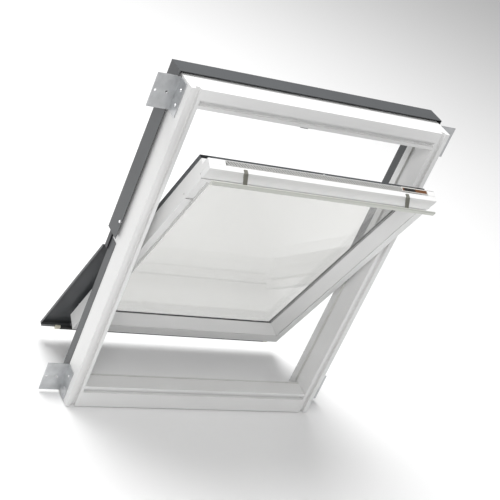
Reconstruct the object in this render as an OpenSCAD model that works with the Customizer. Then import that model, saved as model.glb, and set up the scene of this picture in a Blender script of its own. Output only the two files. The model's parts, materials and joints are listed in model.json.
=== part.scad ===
// Centre-pivot roof skylight: frame, pivoting sash, ventilation flap with control bar, outer covers.
// X runs across the window, +Y points outdoors, +Z runs up the slope of the roof.
// The origin is midway between the four corner brackets, on the faces that lie on the roof battens.

/* [Frame] */
// Overall width of the frame
outer_w = 780; // [660:10:1140]
// Overall height of the frame
outer_h = 980; // [780:10:1400]
// Depth of the frame from its room face to its outdoor face
frame_depth = 94; // [88:1:120]
// Thickness of the two side members
side_w = 35; // [30:1:50]
// Height of the bottom member
bottom_h = 70; // [60:1:90]
// Height of the top member
top_h = 52; // [45:1:80]
// Depth of the bottom member at its inner edge
sill_depth = 59; // [50:1:66]
// Depth of the bottom member past its slope
sill_outer_depth = 76; // [70:1:80]
// Width of the groove that takes the wall lining
lining_groove_w = 13; // [10:1:16]
// Depth of the groove that takes the wall lining
lining_groove_d = 10; // [8:1:14]
// Distance from the inner edge of the frame to the lining groove
lining_groove_inset = 9; // [7:1:12]

/* [Sash] */
// Angle by which the sash stands open
open_angle = 24.5; // [0:0.5:130]
// Gap between sash and frame, all round
gap = 16; // [14:1:20]
// Distance from the room face of the frame to the room face of the closed sash
sash_recess = 40; // [36:1:46]
// Depth of the sash members
sash_depth = 46; // [44:1:52]
// Width of the flat room face of the side members
strip_side = 24; // [20:1:32]
// Height of the flat room face of the bottom member
strip_bottom = 40; // [30:1:55]
// Width of the slope that runs from the flat face to the glass
bevel_w = 30; // [22:1:40]
// Depth of that slope
bevel_d = 25; // [18:1:26]
// Height of the pivot axis above the outdoor face of the frame
pivot_rise = 11; // [9:1:16]

/* [Glass] */
// Thickness of each pane
pane_t = 4; // [3:1:6]
// Space between the two panes
cavity = 16; // [12:1:16]
// Width of the panes' edges that is hidden in the side members
glass_cover = 30; // [15:1:32]
// Width of the panes' lower edge that is hidden in the bottom member
glass_cover_bottom = 48; // [15:1:52]
// Width of the panes' upper edge that is hidden in the top member
glass_cover_top = 15; // [12:1:18]
// Thickness of the seal under the glass
bedding = 2; // [1.5:0.5:3]

/* [Flap and control bar] */
// Height of the ventilation flap
flap_h = 46; // [40:1:60]
// Thickness of the ventilation flap
flap_t = 15; // [13:1:18]
// Distance from each end of the control bar to the edge of the sash
bar_inset = 6; // [4:1:60]
// Height of the control bar
bar_h = 14; // [12:1:20]
// Thickness of the control bar
bar_t = 6; // [5:1:9]
// Finger room between the control bar and the flap
finger_gap = 24; // [20:1:32]
// Distance between the two brackets of the control bar
bracket_span = 484; // [200:2:600]

/* [Outer covers] */
// Thickness of the folded aluminium sheet
sheet = 1.2; // [1:0.1:2]
// Height of the upper covers above the outdoor face of the frame
cover_rise = 29; // [22:1:36]
// Distance by which the covers reach past the outer side of the frame
cover_out = 8; // [5:1:12]
// Distance by which the covers reach onto the glass
cover_on_glass = 8; // [6:1:20]

/* [Brackets] */
// Distance from the room face of the frame to the batten plane
batten_y = 60; // [50:1:66]
// Length of a bracket along the frame
bracket_len = 90; // [70:2:120]
// Width of the flange that lies on the batten
flange_w = 62; // [50:2:80]
// Thickness of the bracket steel
bracket_t = 2.5; // [2:0.5:4]
// Radius of the batten screw holes
batten_hole_r = 3.25; // [2.5:0.05:4]
// Distance between the two batten holes of one bracket
batten_hole_pitch = 30; // [20:2:40]

/* [Hidden] */
$fn = 48;

// Clearances
fit = 0.3;            // between pieces that are set in or on one another
run = 0.05;           // around a pin or bolt that turns or slides
eps = 0.01;

// Frame, measured from the room face (y = 0) and from mid height (z = 0)
half_w = outer_w / 2;
half_h = outer_h / 2;
in_w = half_w - side_w;
in_bot = -half_h + bottom_h;
in_top = half_h - top_h;
sill_slope = 16;
apron = 76;
sweep_w = 12;
side_notch = apron - gap - sweep_w - 6;
pivot_y = frame_depth + pivot_rise;
cover_top = frame_depth + cover_rise;
gasket_y = frame_depth - 30;
gasket_w = 6;
gasket_proud = 5;
gasket_root = 4;
gasket_skip = 50;

// Sash, closed, in the same axes
sash_w = in_w - gap;
sash_bot = in_bot + gap;
sash_top_z = in_top - gap;
sash_h = sash_top_z - sash_bot;
strip_top = flap_h + 10;
front_cut = flap_t + fit;
frame_t = strip_side + bevel_w;
bed_m = bevel_d + 2;
glass_m = bed_m + bedding;
glass_t = 2 * pane_t + cavity;
glass_out = glass_m + glass_t;
groove_w = 3;
groove_d = 3;
head_w = 42;
ledge_h = 26;
lock_m1 = sash_depth - 1.5;
lock_m0 = lock_m1 - 12;
ledge_m = lock_m0 - 2.5;

// Glass edges
glass_x = sash_w - frame_t + glass_cover;
glass_z0 = sash_bot + strip_bottom + bevel_w - glass_cover_bottom;
glass_z1 = sash_top_z - strip_top - bevel_w + glass_cover_top;

// Outer covers of the sash: they lie on the seal around the glass
cover_m = max(frame_depth + 4 - sash_recess, glass_out + 3);
cover_x = half_w + cover_out;
cover_in_x = glass_x - cover_on_glass;
cover_start = 40;
cover_lip = 6;
sweep_m = sill_outer_depth + sheet + 0.8 - sash_recess;
sweep_t = 7;

// Pivot
pin_r = 6;
hinge_t = 3;
eye_r = 11;
hinge_half = 40;
pin_end = in_w + 0.2;

// Flap
flap_axis_z = sash_top_z - flap_h + flap_t / 2;
flap_axis_m = flap_t / 2;
knuckle_x = 200;
knuckle_w = 20;
knuckle_r = 4.5;
knuckle_pin_r = 2;
bar_z = sash_top_z - 25;
strap_w = 10;

// Latch and barrel bolt
ledge_z = sash_top_z - ledge_h;
lock_low = sash_top_z - strip_top - 10;
latch_m = lock_m1 - 6;
latch_r = 4;
latch_rest = 16;
latch_travel = 12;
latch_len = latch_rest + ledge_z - lock_low - 2 - latch_travel;
striker_z = 6.5;
bolt_z = sash_top_z - 131;
bolt_m = 12;
bolt_r = 3;
bolt_len = 30;
bolt_knob_w = 19;
bolt_travel = gap - 2;
clean_angle = 155;
bush_z = bolt_z * cos(clean_angle) + (sash_recess + bolt_m - pivot_y) * sin(clean_angle);
bush_y = pivot_y - bolt_z * sin(clean_angle) + (sash_recess + bolt_m - pivot_y) * cos(clean_angle);
bush_r = 8;
bush_proud = 9;

// Vent
vent_x = sash_w - head_w - 4;
vent_h = 20;
vent_m = ledge_m - 0.8;
plate_x0 = sash_w - 110;
plate_len = 84;

// Screws
screw_r = 2;
head_r = 4;
head_t = 2.2;

white = [0.86, 0.86, 0.85];
dark = [0.29, 0.30, 0.31];
black = [0.06, 0.06, 0.06];
pale_rubber = [0.8, 0.8, 0.79];
steel = [0.68, 0.69, 0.70];

// Places a piece of the frame
module in_frame() translate([0, -batten_y, 0]) children();

// Places a piece of the sash, turned about the pivot axis
module in_sash()
    translate([0, pivot_y - batten_y, 0])
    rotate([open_angle, 0, 0])
    translate([0, -pivot_y, 0])
    children();

// Places a piece by its depth behind the sash's room face
module on_sash() in_sash() translate([0, sash_recess, 0]) children();

// A block between two corners
module block(a, b) translate(a) cube(b - a);

// Mirrors a right-hand piece to the left
module handed(side) mirror([side < 0 ? 1 : 0, 0, 0]) children();

// Extrudes an outline drawn in (height, depth) along X, centred
module along_x(len) rotate([0, -90, 0]) linear_extrude(height = len, center = true) children();

// Round bar along X, from x0 to x1
module rod_x(x0, x1, y, z, r) translate([x0, y, z]) rotate([0, 90, 0]) cylinder(h = x1 - x0, r = r);

// Round bar along Y, from y0 to y1
module rod_y(y0, y1, x, z, r) translate([x, y0, z]) rotate([-90, 0, 0]) cylinder(h = y1 - y0, r = r);

// Round bar along Z, from z0 to z1
module rod_z(z0, z1, x, y, r) translate([x, y, z0]) cylinder(h = z1 - z0, r = r);

// Screw into the frame or sash side, along +X, with its head from x - head_t to x
module screw_x(x, y, z, len) {
    rod_x(x - head_t, x, y, z, head_r);
    rod_x(x - eps, x + len, y, z, screw_r);
}

// ---------------------------------------------------------------- frame

// Right side member, with its lining groove, gasket groove and the low notch at its foot
module side_member() difference() {
    block([in_w, 0, -half_h], [half_w, frame_depth, half_h]);
    translate([in_w, 0, -half_h - 1]) side_grooves(outer_h + 2);
    block([in_w - 1, sill_outer_depth, -half_h - 1], [half_w + 1, frame_depth + 1, in_bot - side_notch]);
    for (p = hinge_holes) rod_x(in_w - 1, in_w + 20, p[0], p[1], screw_r + run);
    for (z = [-1, 1]) for (p = bracket_side_holes)
        rod_x(half_w - 24, half_w + 1, p[0], z * p[1], screw_r + run);
    for (z = cover_screw_z) rod_x(half_w - 20, half_w + 1, cover_screw_y, z, screw_r + run);
}

module side_grooves(len) {
    translate([lining_groove_inset, -1, 0]) cube([lining_groove_w, lining_groove_d + 1, len]);
    translate([-1, gasket_y, 0]) cube([gasket_root + 1, gasket_w, len]);
    translate([-1, gasket_y - 3, 0]) cube([1.8, 1.2, len]);
}

module frame_right() color(white) in_frame() side_member();

module frame_left() color(white) in_frame() difference() {
    handed(-1) side_member();
    rod_x(-in_w - 8, -in_w + 1, bush_y, bush_z, 4.5);
}

module frame_top() color(white) in_frame() difference() {
    block([-in_w, 0, in_top], [in_w, frame_depth, half_h]);
    block([-in_w - 1, -1, in_top + lining_groove_inset],
          [in_w + 1, lining_groove_d, in_top + lining_groove_inset + lining_groove_w]);
    block([-in_w - 1, gasket_y, in_top - 1], [in_w + 1, gasket_y + gasket_w, in_top + gasket_root]);
    for (x = striker_screw_x) rod_z(in_top - 1, in_top + 18, x, striker_screw_y, screw_r + run);
}

module frame_bottom() color(white) in_frame() difference() {
    along_x(2 * in_w) polygon([
        [in_bot, 0], [in_bot, sill_depth - 2], [in_bot - 2, sill_depth],
        [in_bot - sill_slope, sill_outer_depth], [-half_h, sill_outer_depth], [-half_h, 0]]);
    block([-in_w - 1, -1, in_bot - lining_groove_inset - lining_groove_w],
          [in_w + 1, lining_groove_d, in_bot - lining_groove_inset]);
    block([-in_w - 1, sill_depth - 10, in_bot - gasket_root], [in_w + 1, sill_depth - 5, in_bot + 1]);
}

// Lip seals in the side grooves, broken at the pivots and clear of the bush
module side_gaskets() color(pale_rubber) in_frame() difference() {
    for (side = [-1, 1]) handed(side)
        for (z = [[in_bot + 1, -gasket_skip], [gasket_skip, in_top - 1]]) {
            block([in_w - fit, gasket_y + fit, z[0]],
                  [in_w + gasket_root - fit, gasket_y + gasket_w - fit, z[1]]);
            block([in_w - gasket_proud, gasket_y + 2, z[0]], [in_w - fit + eps, gasket_y + 4, z[1]]);
        }
    rod_x(-in_w - 10, -in_w + bush_proud + 1, bush_y, bush_z, bush_r + fit);
}

module top_gasket() color(pale_rubber) in_frame() {
    x = in_w - gasket_proud - 1;
    block([-x, gasket_y + fit, in_top - fit], [x, gasket_y + gasket_w - fit, in_top + gasket_root - fit]);
    block([-x, gasket_y + 2, in_top - gasket_proud], [x, gasket_y + 4, in_top - fit + eps]);
}

module bottom_gasket() color(pale_rubber) in_frame() {
    x = in_w - 1;
    block([-x, sill_depth - 10 + fit, in_bot - gasket_root + fit], [x, sill_depth - 5 - fit, in_bot + fit]);
}

// Steel plate on the side member with an eye for the pin, above the frame's outdoor face
hinge_holes = [for (y = [frame_depth - 26, frame_depth - 10]) for (z = [-32, 32]) [y, z]];

module hinge_outline(y0, y1, r) {
    polygon([[-hinge_half, y0], [hinge_half, y0], [hinge_half, y1], [eye_r, pivot_y], [-eye_r, pivot_y],
             [-hinge_half, y1]]);
    translate([0, pivot_y]) circle(r = r);
}

// Turns an outline drawn in (height, depth) into a plate across X, from x0 to x1
module plate_x(x0, x1) translate([x1, 0, 0]) rotate([0, -90, 0]) linear_extrude(height = x1 - x0) children();

module frame_hinge(side) color(steel) in_frame() handed(side) difference() {
    plate_x(in_w - hinge_t - 1, in_w - fit / 3) hinge_outline(frame_depth - 34, frame_depth - 2, eye_r);
    rod_x(in_w - 10, in_w + 10, pivot_y, 0, pin_r + run);
    for (p = hinge_holes) {
        rod_x(in_w - 10, in_w + 1, p[0], p[1], screw_r + fit);
        rod_x(in_w - 10, in_w - 1.8, p[0], p[1], head_r + fit);
    }
}

module frame_hinge_left() frame_hinge(-1);
module frame_hinge_right() frame_hinge(1);

// Striker under the top member: a folded strap with a hole for the latch bolt
striker_screw_x = [-20, 20];
striker_low = ledge_z + striker_z;
latch_y = sash_recess + latch_m;
striker_screw_y = latch_y + 1.5;
striker_y1 = latch_y + latch_r + 7.5;

module striker_plate() color(steel) in_frame() difference() {
    union() {
        block([-28, latch_y - 6.5, in_top - 3], [28, striker_y1, in_top]);
        block([-12, striker_y1 - 3, striker_low], [12, striker_y1, in_top - 3 + eps]);
        block([-12, latch_y - 7, striker_low], [12, striker_y1, striker_low + 3]);
    }
    rod_z(striker_low - 1, striker_low + 4, 0, latch_y, latch_r + 1.5);
    for (x = striker_screw_x) {
        rod_z(in_top - 4, in_top + 1, x, striker_screw_y, screw_r + fit);
        rod_z(in_top - 4, in_top - 3 + head_t - 1, x, striker_screw_y, head_r + fit);
    }
}

// Screws of the frame hinges and of the striker
module fitting_screws() color(steel) in_frame() {
    for (side = [-1, 1]) handed(side) for (p = hinge_holes) screw_x(in_w - 1.8, p[0], p[1], 18);
    for (x = striker_screw_x) {
        rod_z(in_top - 3 - 1, in_top - 3 + head_t - 1, x, striker_screw_y, head_r);
        rod_z(in_top - 3, in_top + 17, x, striker_screw_y, screw_r);
    }
}

// Bush that takes the barrel bolt when the sash is turned over for cleaning
module bolt_bush() color([0.75, 0.75, 0.74]) in_frame() difference() {
    union() {
        rod_x(-in_w, -in_w + bush_proud, bush_y, bush_z, bush_r);
        rod_x(-in_w - 7, -in_w + eps, bush_y, bush_z, 4.45);
    }
    rod_x(-in_w - 6, -in_w + bush_proud + 1, bush_y, bush_z, bolt_r + 0.4);
}

// Fixed covers of the upper half: an inner flange, a top and an outer leg
module cover_section(in_x, low_in, low_out, top) {
    polygon([[in_x, low_in], [in_x, top], [cover_x, top], [cover_x, low_out], [cover_x - sheet, low_out],
             [cover_x - sheet, top - sheet], [in_x + sheet, top - sheet], [in_x + sheet, low_in]]);
}

cover_screw_y = frame_depth - 20;
cover_screw_z = [60, in_top - 38];
cover_low = batten_y + bracket_t + 1.5;

module upper_cover(side) color(dark) in_frame() handed(side) difference() {
    linear_z(14, in_top - 0.5) cover_section(in_w, frame_depth, cover_low, cover_top);
    for (z = cover_screw_z) rod_x(cover_x - 5, cover_x + 1, cover_screw_y, z, screw_r + fit);
}

module upper_cover_left() upper_cover(-1);
module upper_cover_right() upper_cover(1);

// Hood over the top member, closed at both ends
module top_hood() color(dark) in_frame() {
    top_z = half_h + cover_out;
    along_x(2 * cover_x) polygon([
        [in_top, frame_depth], [in_top, cover_top], [top_z, cover_top], [top_z, cover_low],
        [top_z - sheet, cover_low], [top_z - sheet, cover_top - sheet],
        [in_top + sheet, cover_top - sheet], [in_top + sheet, frame_depth]]);
    for (side = [-1, 1]) handed(side)
        block([cover_x - sheet, cover_low, in_top + sheet / 2],
              [cover_x, cover_top - eps, top_z - sheet / 2]);
}

// Thin trims on the lower half, under the sash's own covers
module lower_trim(side) color(dark) in_frame() handed(side) {
    linear_z(in_bot - side_notch, 0) polygon([
        [in_w, frame_depth], [in_w, frame_depth + sheet], [half_w + sheet, frame_depth + sheet],
        [half_w + sheet, cover_low], [half_w, cover_low], [half_w, frame_depth]]);
}

module linear_z(z0, z1) translate([0, 0, z0]) linear_extrude(height = z1 - z0) children();

module lower_trim_left() lower_trim(-1);
module lower_trim_right() lower_trim(1);

// Folded sheet on the sill's outdoor side
module sill_cover() color(dark) in_frame() along_x(2 * half_w - 2) polygon([
    [in_bot - side_notch - 1, sill_outer_depth], [in_bot - side_notch - 1, sill_outer_depth + sheet],
    [-half_h - sheet, sill_outer_depth + sheet], [-half_h - sheet, 30], [-half_h, 30],
    [-half_h, sill_outer_depth]]);

// Caps beside the pivots, between the trims and the upper covers
module hinge_caps() color(dark) in_frame() for (side = [-1, 1]) handed(side) difference() {
    block([in_w + 1, frame_depth + sheet, -cover_start + 2], [cover_x - 3, frame_depth + 17, 12]);
    block([in_w + 1 + 2, frame_depth, -cover_start + 4], [cover_x - 5, frame_depth + 15, 10]);
}

module cover_screws() color(steel) in_frame() for (side = [-1, 1]) handed(side) for (z = cover_screw_z) {
    rod_x(cover_x, cover_x + head_t, cover_screw_y, z, head_r);
    rod_x(half_w - 18, cover_x + eps, cover_screw_y, z, screw_r);
}

// Corner brackets: a leg on the frame's side and a flange on the batten
bracket_side_holes = [[38, half_h - 30], [38, half_h - 70]];
bracket_mid = half_h - 50;
batten_x = half_w + 24;

module bracket(side, end) color(steel) in_frame() handed(side) difference() {
    z0 = end * bracket_mid - bracket_len / 2;
    translate([0, 0, z0]) linear_extrude(height = bracket_len) polygon([
        [half_w, 22], [half_w + bracket_t, 22], [half_w + bracket_t, batten_y],
        [half_w + flange_w, batten_y], [half_w + flange_w, batten_y + bracket_t],
        [half_w, batten_y + bracket_t]]);
    for (p = bracket_side_holes) rod_x(half_w - 1, half_w + 9, p[0], end * p[1], screw_r + fit);
    for (i = [0, 1]) rod_y(batten_y - 1, batten_y + bracket_t + 1,
        batten_x + i * batten_hole_pitch, end * bracket_mid, batten_hole_r);
}

module bracket_top_left() bracket(-1, 1);
module bracket_top_right() bracket(1, 1);
module bracket_bottom_left() bracket(-1, -1);
module bracket_bottom_right() bracket(1, -1);

module bracket_screws() color(steel) in_frame() for (side = [-1, 1]) handed(side)
    for (end = [-1, 1]) for (p = bracket_side_holes) {
        rod_x(half_w + bracket_t, half_w + bracket_t + head_t, p[0], end * p[1], head_r);
        rod_x(half_w - 22, half_w + bracket_t + eps, p[0], end * p[1], screw_r);
    }

// ---------------------------------------------------------------- sash

// Section of a sash member: w runs inwards from the outer edge, m is the depth behind the room face
function sash_section(strip, cover) = [
    [0, 0], [strip - groove_w, 0], [strip - groove_w, groove_d], [strip, groove_d], [strip, 0.4],
    [strip + bevel_w, bevel_d], [strip + bevel_w, bed_m], [strip + bevel_w - cover - 2, bed_m],
    [strip + bevel_w - cover - 2, sash_depth], [0, sash_depth]];

// Plan of the left and right members: mitred against the bottom and top members
module side_plan() polygon([
    [sash_w, sash_bot], [sash_w - strip_side, sash_bot + strip_bottom],
    [sash_w - frame_t, sash_bot + strip_bottom + bevel_w],
    [sash_w - frame_t, sash_top_z - strip_top - bevel_w],
    [sash_w - strip_side, sash_top_z - strip_top], [sash_w, sash_top_z - strip_top]]);

module bottom_plan() polygon([
    [-sash_w, sash_bot], [sash_w, sash_bot], [sash_w - strip_side, sash_bot + strip_bottom],
    [sash_w - frame_t, sash_bot + strip_bottom + bevel_w],
    [-sash_w + frame_t, sash_bot + strip_bottom + bevel_w], [-sash_w + strip_side, sash_bot + strip_bottom]]);

module top_plan() polygon([
    [sash_w - head_w, sash_top_z], [sash_w - head_w, sash_top_z - strip_top],
    [sash_w - strip_side, sash_top_z - strip_top],
    [sash_w - frame_t, sash_top_z - strip_top - bevel_w],
    [-sash_w + frame_t, sash_top_z - strip_top - bevel_w],
    [-sash_w + strip_side, sash_top_z - strip_top], [-sash_w + head_w, sash_top_z - strip_top],
    [-sash_w + head_w, sash_top_z]]);

// Raises a plan drawn in (x, z) through the depth of the sash
module through_depth() translate([0, sash_depth + 5, 0]) rotate([90, 0, 0])
    linear_extrude(height = sash_depth + 10) children();

// What is cut from the top of the sash: room for the flap, and the outdoor ledge
module top_cuts() {
    block([-sash_w - 1, -1, sash_top_z - flap_h - 0.6], [sash_w + 1, front_cut, sash_top_z + 1]);
    block([-sash_w - 1, ledge_m, sash_top_z - ledge_h], [sash_w + 1, sash_depth + 1, sash_top_z + 1]);
}

sash_hinge_holes = [for (y = [sash_recess + 16, sash_recess + sash_depth - 10]) for (z = [-32, 32]) [y, z]];

module stile() difference() {
    union() {
        intersection() {
            translate([sash_w, 0, sash_bot]) mirror([1, 0, 0])
                linear_extrude(height = sash_h) polygon(sash_section(strip_side, glass_cover));
            through_depth() side_plan();
        }
        block([sash_w - head_w, 0, sash_top_z - strip_top], [sash_w, sash_depth, sash_top_z]);
    }
    top_cuts();
    for (p = sash_hinge_holes) rod_x(sash_w - 16, sash_w + 1, p[0] - sash_recess, p[1], screw_r + run);
    for (z = sash_screw_z) rod_y(sash_depth - 15, sash_depth + 1, sash_screw_x, z, screw_r + run);
}

module sash_right() color(white) on_sash() stile();

module sash_left() color(white) on_sash() difference() {
    handed(-1) stile();
    rod_x(-sash_w - 1, -sash_w + bolt_len + 2, bolt_m, bolt_z, bolt_r + run);
    knob = -sash_w + bolt_knob_w;
    block([knob - bolt_travel - 2, -1, bolt_z - 2], [knob + 2, bolt_m, bolt_z + 2]);
}

module sash_bottom() color(white) on_sash() intersection() {
    translate([0, 0, sash_bot]) along_x(2 * sash_w) polygon(sash_section(strip_bottom, glass_cover_bottom));
    through_depth() bottom_plan();
}

lock_half = 40;

module sash_top() color(white) on_sash() difference() {
    intersection() {
        translate([0, 0, sash_top_z]) mirror([0, 0, 1])
            along_x(2 * sash_w) polygon(sash_section(strip_top, glass_cover_top));
        through_depth() top_plan();
    }
    top_cuts();
    block([-vent_x, front_cut - 1, sash_top_z - vent_h], [vent_x, vent_m, sash_top_z + 1]);
    block([-lock_half, lock_m0, lock_low], [lock_half, lock_m1, ledge_z + 1]);
    for (side = [-1, 1]) block([side * knuckle_x - 8, front_cut - 1, flap_axis_z - 8],
                               [side * knuckle_x + 8, front_cut + 2, flap_axis_z + 8]);
}

// Sealed glass unit: two panes on a spacer bar
module pane(m) on_sash() block([-glass_x, m, glass_z0], [glass_x, m + pane_t, glass_z1]);

module inner_pane() color([0.86, 0.88, 0.87, 0.4]) pane(glass_m);
module outer_pane() color([0.86, 0.88, 0.87, 0.4]) pane(glass_m + pane_t + cavity);

module ring(x, z0, z1, w, m0, m1) difference() {
    block([-x, m0, z0], [x, m1, z1]);
    block([-x + w, m0 - 1, z0 + w], [x - w, m1 + 1, z1 - w]);
}

module spacer_bar() color([0.45, 0.46, 0.47]) on_sash()
    ring(glass_x - 2, glass_z0 + 2, glass_z1 - 2, 9, glass_m + pane_t, glass_m + pane_t + cavity);

module bedding_seal() color(black) on_sash() difference() {
    x = sash_w - frame_t + 1.5;
    block([-glass_x, bed_m, glass_z0], [glass_x, glass_m, glass_z1]);
    block([-x, bed_m - 1, sash_bot + strip_bottom + bevel_w - 1.5],
          [x, glass_m + 1, sash_top_z - strip_top - bevel_w + 1.5]);
}

// Packers that carry the glass unit on the bottom member
module setting_blocks() color([0.2, 0.35, 0.5]) on_sash() for (x = [-190, 190])
    block([x - 30, glass_m, glass_z0 - 2], [x + 30, glass_out - 4, glass_z0]);

module cover_gasket() color(black) on_sash()
    ring(glass_x - 2, glass_z0 + 2, glass_z1 - 2, cover_on_glass - 2, glass_out, cover_m);

// Sash hinge: plate with an eye and the pivot pin
module sash_hinge(side) color(steel) in_sash() handed(side) {
    difference() {
        plate_x(sash_w + fit / 3, sash_w + hinge_t)
            hinge_outline(sash_recess + 10, sash_recess + sash_depth - 2, eye_r);
        for (p = sash_hinge_holes) {
            rod_x(sash_w - 1, sash_w + 9, p[0], p[1], screw_r + fit);
            rod_x(sash_w + 1, sash_w + 9, p[0], p[1], head_r + fit);
        }
    }
    rod_x(sash_w + hinge_t - eps, pin_end, pivot_y, 0, pin_r);
}

module sash_hinge_left() sash_hinge(-1);
module sash_hinge_right() sash_hinge(1);

module friction_pads() color([0.15, 0.15, 0.16]) in_sash() for (side = [-1, 1]) handed(side) difference() {
    rod_x(sash_w + hinge_t, in_w - hinge_t - 1.3, pivot_y, 0, 14);
    rod_x(sash_w, in_w, pivot_y, 0, pin_r + run);
}

module sash_hinge_screws() color(steel) in_sash() for (side = [-1, 1]) handed(side)
    for (p = sash_hinge_holes) {
        rod_x(sash_w + 1, sash_w + 1 + head_t, p[0], p[1], head_r);
        rod_x(sash_w - 14, sash_w + 1 + eps, p[0], p[1], screw_r);
    }

// Lock case in the ledge, bored for the latch bolt
module lock_case() color(steel) on_sash() difference() {
    block([-lock_half + fit, lock_m0 + fit, lock_low], [lock_half - fit, lock_m1 - fit, ledge_z]);
    rod_z(lock_low + 2, ledge_z + 1, 0, latch_m, latch_r + run);
}

module latch_bolt() color(steel) on_sash()
    rod_z(ledge_z + latch_rest - latch_len, ledge_z + latch_rest, 0, latch_m, latch_r);

module barrel_bolt() color([0.8, 0.8, 0.79]) on_sash() {
    rod_x(-sash_w + 0.5, -sash_w + bolt_len, bolt_m, bolt_z, bolt_r);
    rod_y(-4, bolt_m, -sash_w + bolt_knob_w, bolt_z, 1.7);
    rod_y(-7, -4 + eps, -sash_w + bolt_knob_w, bolt_z, 3.5);
}

// Vent above the top member: filter strip under a ribbed grille
module vent_filter() color([0.35, 0.35, 0.34]) on_sash()
    block([-vent_x + 1, front_cut + 0.5, sash_top_z - vent_h], [vent_x - 1, vent_m - 0.5, sash_top_z - 5]);

rib_pitch = 8;

module vent_grille() color([0.55, 0.55, 0.54]) on_sash() difference() {
    block([-vent_x + fit, front_cut + fit, sash_top_z - 5], [vent_x - fit, vent_m - fit, sash_top_z]);
    for (i = [0 : floor(2 * (vent_x - 8) / rib_pitch)])
        translate([-vent_x + 8 + i * rib_pitch, front_cut + 2, sash_top_z - 1.5]) cube([3, 8.5, 3]);
}

module top_flashing() color(dark) on_sash()
    block([-sash_w + 1, ledge_m, ledge_z], [sash_w - 1, ledge_m + sheet, sash_top_z]);

module data_plate() color([0.2, 0.15, 0.12]) on_sash()
    block([plate_x0, front_cut + 1, sash_top_z], [plate_x0 + plate_len, ledge_m, sash_top_z + 2]);

// Knuckles that carry the flap
module flap_knuckles() color(steel) on_sash() for (side = [-1, 1]) difference() {
    union() {
        rod_x(side * knuckle_x - knuckle_w / 2, side * knuckle_x + knuckle_w / 2,
              flap_axis_m, flap_axis_z, knuckle_r);
        block([side * knuckle_x - 7, flap_axis_m, flap_axis_z - 3],
              [side * knuckle_x + 7, front_cut, flap_axis_z + 3]);
        block([side * knuckle_x - 7, front_cut - eps, flap_axis_z - 7],
              [side * knuckle_x + 7, front_cut + 2, flap_axis_z + 7]);
    }
    rod_x(side * knuckle_x - knuckle_w, side * knuckle_x + knuckle_w, flap_axis_m, flap_axis_z,
          knuckle_pin_r + run);
}

module flap_pins() color(steel) on_sash() for (x = [-knuckle_x, knuckle_x])
    rod_x(x - knuckle_w / 2 - 7, x + knuckle_w / 2 + 7, flap_axis_m, flap_axis_z, knuckle_pin_r);

// Sash covers of the lower half: they reach over the frame's sides
apron_z = sash_bot - apron;

module side_cover(side) color(dark) on_sash() handed(side) {
    difference() {
        linear_z(apron_z, -cover_start) polygon([
            [cover_in_x, cover_m], [cover_in_x, cover_m + sheet], [cover_x, cover_m + sheet],
            [cover_x, cover_m - cover_lip], [cover_x - sheet, cover_m - cover_lip],
            [cover_x - sheet, cover_m]]);
        for (z = sash_screw_z) rod_y(cover_m - 1, cover_m + sheet + 1, sash_screw_x, z, screw_r + fit);
    }
    block([cover_in_x, sweep_m + sweep_t, apron_z],
          [cover_x - sheet / 2, cover_m + sheet / 2, apron_z + sheet]);
    block([cover_in_x, sweep_m + sweep_t, apron_z],
          [cover_x - sheet / 2, sweep_m + sweep_t + sheet, apron_z + sweep_w]);
}

module side_cover_left() side_cover(-1);
module side_cover_right() side_cover(1);

// Sash trims of the upper half: they stay inside the frame
module side_trim(side) color(dark) on_sash() handed(side)
    linear_z(-cover_start + 1, ledge_z - 4) polygon([
        [cover_in_x, cover_m], [cover_in_x, cover_m + sheet], [sash_w, cover_m + sheet],
        [sash_w, sash_depth], [sash_w - sheet, sash_depth], [sash_w - sheet, cover_m]]);

module side_trim_left() side_trim(-1);
module side_trim_right() side_trim(1);

module top_cover() color(dark) on_sash() along_x(2 * cover_in_x - 1) polygon([
    [glass_z1 - cover_on_glass, cover_m], [glass_z1 - cover_on_glass, cover_m + sheet],
    [ledge_z - 4, cover_m + sheet], [ledge_z - 4, sash_depth], [ledge_z - 4 - sheet, sash_depth],
    [ledge_z - 4 - sheet, cover_m]]);

module bottom_cover() color(dark) on_sash() along_x(2 * cover_in_x - 1) polygon([
    [glass_z0 + cover_on_glass, cover_m], [glass_z0 + cover_on_glass, cover_m + sheet],
    [apron_z, cover_m + sheet], [apron_z, sweep_m + sweep_t], [apron_z + sweep_w, sweep_m + sweep_t],
    [apron_z + sweep_w, sweep_m + sweep_t + sheet], [apron_z + sheet, sweep_m + sweep_t + sheet],
    [apron_z + sheet, cover_m]]);

sweep_x = in_w - 12;

module sweep_seal() color(black) on_sash()
    block([-sweep_x, sweep_m, apron_z], [sweep_x, sweep_m + sweep_t, apron_z + sweep_w]);

module corner_blocks() color([0.88, 0.87, 0.78]) on_sash() for (side = [-1, 1]) handed(side)
    block([sweep_x + fit, sweep_m, apron_z], [in_w + 3, sweep_m + sweep_t, apron_z + sweep_w]);

// Screws through the covers into the sash
sash_screw_x = sash_w - 10;
sash_screw_z = [sash_bot + 44, (sash_bot + 4) / 2, -60];

module sash_cover_screws() color(steel) on_sash() for (x = [-sash_screw_x, sash_screw_x])
    for (z = sash_screw_z) {
    rod_y(cover_m + sheet, cover_m + sheet + head_t, x, z, head_r);
    rod_y(sash_depth - 14, cover_m + sheet + eps, x, z, screw_r);
}

// ---------------------------------------------------------------- flap, bar, latch

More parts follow.
